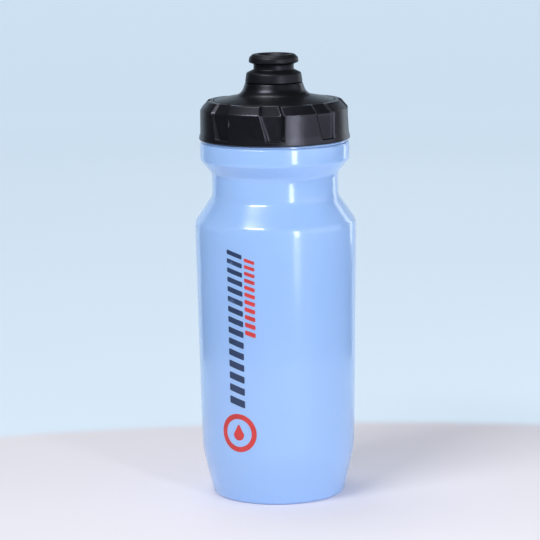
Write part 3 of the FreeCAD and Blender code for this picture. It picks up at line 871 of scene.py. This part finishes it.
def buildCap(shape):
    easing = shape["arcSteps"], shape["cuts"], shape["cornerShare"]
    wallLine, notchLine = easedLine(shape["wall"], *easing), easedLine(shape["notch"], *easing)
    hidden = roundedLine(shape["hidden"], shape["hiddenArcSteps"], shape["hiddenStep"], closed=False)
    hiddenLine = [Vector(point) for point in hidden]
    shares = shape["sideShares"]
    before, past = -shares[0], shares[-1]
    columns = [("left", share) for share in shares]
    for step in range(1, shape["floorColumns"] + 1):
        columns.append(("floor", step / (shape["floorColumns"] + 1)))
    columns += [("right", share) for share in reversed(shares)]
    outer = [step / (shape["outerColumns"] + 1) for step in range(1, shape["outerColumns"] + 1)]
    for share in [shape["support"], *outer, 1 - shape["support"]]:
        columns.append(("outer", share))
    sector = 2 * math.pi / shape["count"]
    levels = (shape["foot"], shape["bend"], shape["top"])
    grid = []
    lastTurns = None
    for row in range(len(wallLine) + len(hiddenLine)):
        shown = row < len(wallLine)
        wall = wallLine[row] if shown else hiddenLine[row - len(wallLine)]
        notch = notchLine[row] if shown else wall
        if shown:
            reach = max(wall.x, shape["leastReach"])
            left = -atLevel(levels, shape["left"], wall.y) / reach
            right = atLevel(levels, shape["right"], wall.y) / reach
            side = shape["side"] / reach
            turns = []
            for kind, share in columns:
                if kind == "left":
                    turns.append((left + side * share, softRamp(share)))
                elif kind == "right":
                    turns.append((right - side * share, softRamp(share)))
                elif kind == "floor":
                    low, high = left + side * past, right - side * past
                    turns.append((low + (high - low) * share, 1.0))
                else:
                    low, high = right + side * before, left - side * before + sector
                    turns.append((low + (high - low) * share, 0.0))
            lastTurns = turns
        ring = []
        for number in range(shape["count"]):
            for turn, sunk in lastTurns:
                flat = 1 / math.cos(turn) if sunk > 0 and wall.x - notch.x > shape["flatFrom"] else 1.0
                across = wall.x + (notch.x * flat - wall.x) * sunk
                up = wall.y + (notch.y - wall.y) * sunk
                angle = -math.pi / 2 + number * sector + turn
                ring.append((across * math.cos(angle) * mm, across * math.sin(angle) * mm,
                             (up + shape["base"]) * mm))
        grid.append(ring)
    size = len(grid[0])
    points = [point for ring in grid for point in ring]
    faces = []
    for row in range(len(grid)):
        other = (row + 1) % len(grid)
        for step in range(size):
            after = (step + 1) % size
            faces.append((row * size + step, row * size + after, other * size + after, other * size + step))
    return points, faces


capPlastic = makePlastic("blackCapPlastic", capFinish)
capPoints, capFaces = buildCap(capShape)
grippedCap = addPiece("grippedCap", capPoints, capFaces, "cap", capPlastic, capShape["sharp"])
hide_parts("cap_body")
capThread = {**threadShape, "wall": capShape["wall"][0][0], "depth": -threadShape["height"],
             "level": capShape["base"] + capShape["threadLevel"]}
windRidge("capThread", capThread, "cap", capPlastic)
print("cap ready:", len(capPoints), "points")


# soft dome over the cap

domeFinish = {
    "shader": {"IOR": 1.47, "Specular IOR Level": 0.52, "Specular Tint": (0.78, 0.81, 1.0, 1)},
    "tone": {"Light Colour": (0.0044, 0.0045, 0.0058, 1), "Dark Colour": (0.0032, 0.0033, 0.0044, 1),
             "Scale": 70.0, "Rough Low": 0.27, "Rough High": 0.35},
    "rubAndHighlight": {"Start": 0.53, "Full": 0.66, "Amount": 0.35, "Breakup Scale": 500.0},
    "rubAndHighlightColour": (0.07, 0.07, 0.08, 1),
    "dust": {"Amount": 0.012, "Scale": 1500.0},
    "dustColour": (0.28, 0.29, 0.32, 1),
    "grain": {"Grain Scale": 3600.0, "Grain Amount": 1.0, "Wave Scale": 90.0, "Wave Amount": 0.2},
    "bump": 0.16,
    "bumpDepth": 0.10,
}
domeShape = {
    "corners": [(27.6, 16.96), (27.6, 17.84, 0.3), (14.95, 20.39, 5.5), (13.15, 25.74, 0.28), (12.3, 25.74),
                (14.3, 19.66, 6.4)],
    "arcSteps": 9, "longestStep": 1.6,
}
domeRubber = makePlastic("softDomeSkin", domeFinish)
domeLine = roundedLine(domeShape["corners"], domeShape["arcSteps"], domeShape["longestStep"])
softDome = turnPiece("softDome", domeLine, capShape["base"], "cap", domeRubber)
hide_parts("dome_cover")
print("dome ready")


# nozzle

sleeveFinish = dict(domeFinish)
sleeveFinish["tone"] = {
    "Light Colour": (0.0046, 0.0047, 0.0060, 1), "Dark Colour": (0.0034, 0.0035, 0.0046, 1),
    "Scale": 90.0, "Rough Low": 0.40, "Rough High": 0.50,
}
sleeveShape = {
    "corners": [(10.5, 25.99), (13.15, 25.99, 0.35), (12.5, 30.19, 1.1), (9.2, 31.73, 0.7), (9.2, 34.15, 0.6),
                (11.45, 35.05, 0.6), (11.1, 37.25, 1.3), (9.55, 38.65, 1.2), (7.6, 38.65, 0.8),
                (4.4, 36.65, 0.4), (8.0, 36.65), (8.0, 31.73), (10.5, 30.19)],
    "arcSteps": 6, "longestStep": 1.6,
}
sleeveRubber = makePlastic("softNozzleSkin", sleeveFinish)
sleeveLine = roundedLine(sleeveShape["corners"], sleeveShape["arcSteps"], sleeveShape["longestStep"])
softSleeve = turnPiece("softSleeve", sleeveLine, capShape["base"], "nozzle", sleeveRubber)
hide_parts("nozzle_sleeve")
print("nozzle ready")


# pieces carried over from the frame

carriedFinishes = {
    "cap_gasket": {
        "shader": {"IOR": 1.43, "Subsurface Weight": 0.3, "Subsurface Scale": 0.002,
                   "Specular IOR Level": 0.4},
        "tone": {"Light Colour": (0.62, 0.64, 0.66, 1), "Dark Colour": (0.50, 0.52, 0.55, 1), "Scale": 55.0,
                 "Rough Low": 0.42, "Rough High": 0.56},
        "grain": {"Grain Scale": 2600.0, "Grain Amount": 0.8, "Wave Scale": 80.0, "Wave Amount": 0.4},
        "bump": 0.3, "bumpDepth": 0.10,
    },
    "spout_post": {
        "shader": {"IOR": 1.50, "Specular IOR Level": 0.5},
        "tone": {"Light Colour": (0.030, 0.030, 0.034, 1), "Dark Colour": (0.020, 0.020, 0.023, 1),
                 "Scale": 70.0, "Rough Low": 0.26, "Rough High": 0.38},
        "rubAndHighlight": {"Start": 0.53, "Full": 0.66, "Amount": 0.4, "Breakup Scale": 500.0},
        "rubAndHighlightColour": (0.09, 0.09, 0.10, 1),
        "grain": {"Grain Scale": 3000.0, "Grain Amount": 0.6, "Wave Scale": 120.0, "Wave Amount": 0.3},
        "bump": 0.3, "bumpDepth": 0.10,
    },
    "post_seal_ring": {
        "shader": {"IOR": 1.45, "Specular IOR Level": 0.4},
        "tone": {"Light Colour": (0.030, 0.030, 0.034, 1), "Dark Colour": (0.018, 0.018, 0.021, 1),
                 "Scale": 200.0, "Rough Low": 0.45, "Rough High": 0.6},
        "grain": {"Grain Scale": 3600.0, "Grain Amount": 0.9, "Wave Scale": 200.0, "Wave Amount": 0.2},
        "bump": 0.3, "bumpDepth": 0.06,
    },
    "nozzle_core": {
        "shader": {"IOR": 1.50, "Specular IOR Level": 0.5},
        "tone": {"Light Colour": (0.020, 0.020, 0.023, 1), "Dark Colour": (0.012, 0.012, 0.015, 1),
                 "Scale": 90.0, "Rough Low": 0.28, "Rough High": 0.40},
        "rubAndHighlight": {"Start": 0.53, "Full": 0.66, "Amount": 0.4, "Breakup Scale": 500.0},
        "rubAndHighlightColour": (0.08, 0.08, 0.09, 1),
        "grain": {"Grain Scale": 3000.0, "Grain Amount": 0.6, "Wave Scale": 120.0, "Wave Amount": 0.3},
        "bump": 0.3, "bumpDepth": 0.08,
    },
}
carriedNames = {
    "cap_gasket": "clearGasketRubber", "spout_post": "blackPostPlastic",
    "post_seal_ring": "blackSealRubber", "nozzle_core": "blackCorePlastic",
}
for nodeName, finish in carriedFinishes.items():
    material = makePlastic(carriedNames[nodeName], finish)
    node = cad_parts[nodeName]
    if not node.material_slots:
        node.data.materials.append(material)
    for place in node.material_slots:
        place.material = material
print("carried pieces finished:", len(carriedFinishes))
